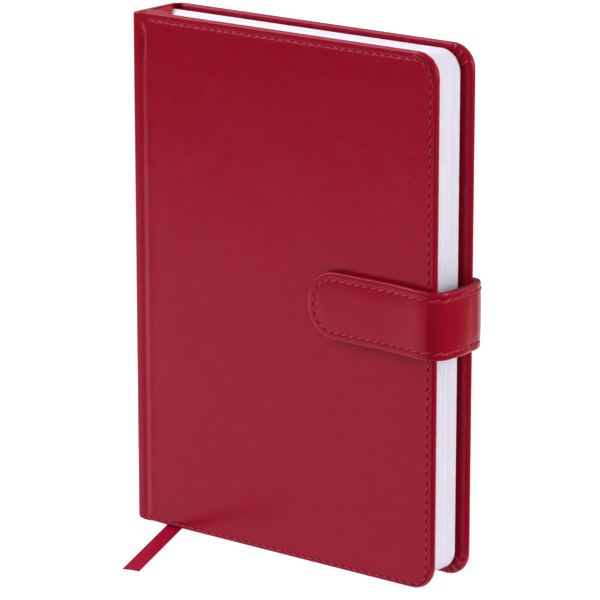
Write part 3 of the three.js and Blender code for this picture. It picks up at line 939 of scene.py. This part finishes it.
def make_anchor():
    """The strap's end, sewn on the back cover, in one sheet with a rounded edge."""
    low, high = book_box("strap_anchor")
    reach = STRAP_START - low[0]
    thick = STRAP_T + BACK_Y - low[1]

    def place(u, v, depth):
        outside = np.full(len(u), BACK_Y + STRAP_T)
        return np.column_stack([STRAP_START - u, outside - depth, STRAP_Z + v - 1.0])

    def surface(u, v, out):
        return place(u, v, strap_face(u, v, STRAP_STITCH_IN) - out)

    arm = arm_steps(reach - STRAP_ROUND, 1, 0.42, 0.42)
    panel = Panel(0, reach, -STRAP_HALF, STRAP_HALF, STRAP_ROUND, thick, strap_profile(1.2, 18), strap_face,
                  place, arm, 72, 12)
    thread, holes = sewing("anchor_stitches", panel.ring(STRAP_STITCH_IN), surface, start=2.0, end=2.0)
    skin = panel.build("strap_anchor_leather", LEATHER, holes, closed=True)
    for made, slot in ((skin, "leather"), (thread, "thread")):
        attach(made, "back_cover")
    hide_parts("strap_anchor")
    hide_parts("anchor_stitching")


make_anchor()

# ---- CAD nodes that stay, in their materials ----
KEPT = {
    PAPER: ["front_pastedown", "back_pastedown", "front_flyleaf", "back_flyleaf"],
    BOARD: ["front_board", "back_board", "spine_board", "strap_core"],
    FOAM: ["front_padding", "back_padding"],
    LINING: ["spine_lining"],
    SILK: ["head_band", "tail_band"],
    MULL: ["block_lining"],
    RIBBON: ["ribbon_run"],
    STEEL: ["latch_plate", "strap_magnet"],
}
for material, names in KEPT.items():
    for name in names:
        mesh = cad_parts[name].data
        mesh.materials.clear()
        mesh.materials.append(material)


# ---- stage: a white floor, black cards for the reflections, and soft boxes ----
def stage_plane(name, corners, material):
    """One flat face of the stage, in metres."""
    mesh = bpy.data.meshes.new(name)
    mesh.from_pydata(corners, [], [tuple(range(len(corners)))])
    mesh.materials.append(material)
    made = bpy.data.objects.new(name, mesh)
    bpy.context.scene.collection.objects.link(made)
    return made


def floor_material(name, strength):
    """A pale floor that gives off its own even light."""
    s = Shader(name)
    return s.finish(Base_Color=(0.3, 0.3, 0.3, 1), Roughness=0.7, Specular_IOR_Level=0.1,
                    Emission_Color=(1, 1, 1, 1), Emission_Strength=strength)


def flag_material():
    s = Shader("black_flag")
    return s.finish(Base_Color=(0.01, 0.01, 0.01, 1), Roughness=1.0, Specular_IOR_Level=0.0)


def area_light(name, location, target, size, power):
    """A soft box that faces its target."""
    data = bpy.data.lights.new(name, "AREA")
    data.shape, data.size, data.size_y = "RECTANGLE", size[0], size[1]
    data.energy = power
    made = bpy.data.objects.new(name, data)
    bpy.context.scene.collection.objects.link(made)
    made.location = location
    made.rotation_euler = (Vector(target) - Vector(location)).to_track_quat("-Z", "Y").to_euler()


ROOM = 7.0
WALL_H = 5.0
SWEEP = [(-ROOM, -ROOM), (ROOM, -ROOM), (ROOM, ROOM), (-ROOM, ROOM)]
# The camera and the reflections see a white floor. A dimmer one just below it lights the planner.
WHITE = floor_material("white_sweep", 1.0)
floor = stage_plane("floor", [(x, y, 0) for x, y in SWEEP], WHITE)
floor.visible_diffuse = False
bounce = stage_plane("floor_bounce", [(x, y, -0.001) for x, y in SWEEP], floor_material("grey_sweep", 0.5))
bounce.visible_camera = bounce.visible_glossy = False
# White walls at the floor's edges: only the camera sees them.
for i, name in enumerate(("wall_front", "wall_right", "wall_back", "wall_left")):
    (x0, y0), (x1, y1) = SWEEP[i], SWEEP[(i + 1) % 4]
    wall = stage_plane(name, [(x0, y0, 0), (x1, y1, 0), (x1, y1, WALL_H), (x0, y0, WALL_H)], WHITE)
    wall.visible_diffuse = wall.visible_glossy = wall.visible_shadow = False
# Black card on the floor, beside the camera's path and far in front: only reflections see it.
for name, corners in (("flag_right", [(0.03, -0.25), (0.14, -1.6), (1.8, -1.0), (1.8, 1.2), (0.6, 1.4),
                                      (0.1, 0.05), (0.09, -0.03)]),
                      ("flag_far", [(-2.6, -0.2), (-2.0, -2.6), (0.0, -2.0), (0.1, -0.95), (-0.75, -0.3)])):
    card = stage_plane(name, [(x, y, 0.001) for x, y in corners], flag_material())
    card.visible_camera = card.visible_diffuse = card.visible_shadow = False
area_light("key_box", (-0.72, -0.34, 0.98), (0, 0, 0.12), (1.0, 1.0), 11.5)
area_light("left_box", (-1.5, -0.9, 0.7), (0, 0, 0.1), (0.9, 1.1), 3)
area_light("right_box", (1.7, 0.5, 0.6), (0, 0, 0.1), (0.8, 1.0), 16)

world = bpy.data.worlds.new("soft_room")
world.use_nodes = True
background = world.node_tree.nodes["Background"]
background.inputs["Color"].default_value = (0.92, 0.93, 0.95, 1)
background.inputs["Strength"].default_value = 0.47
bpy.context.scene.world = world
bpy.context.scene.view_settings.view_transform = "Standard"
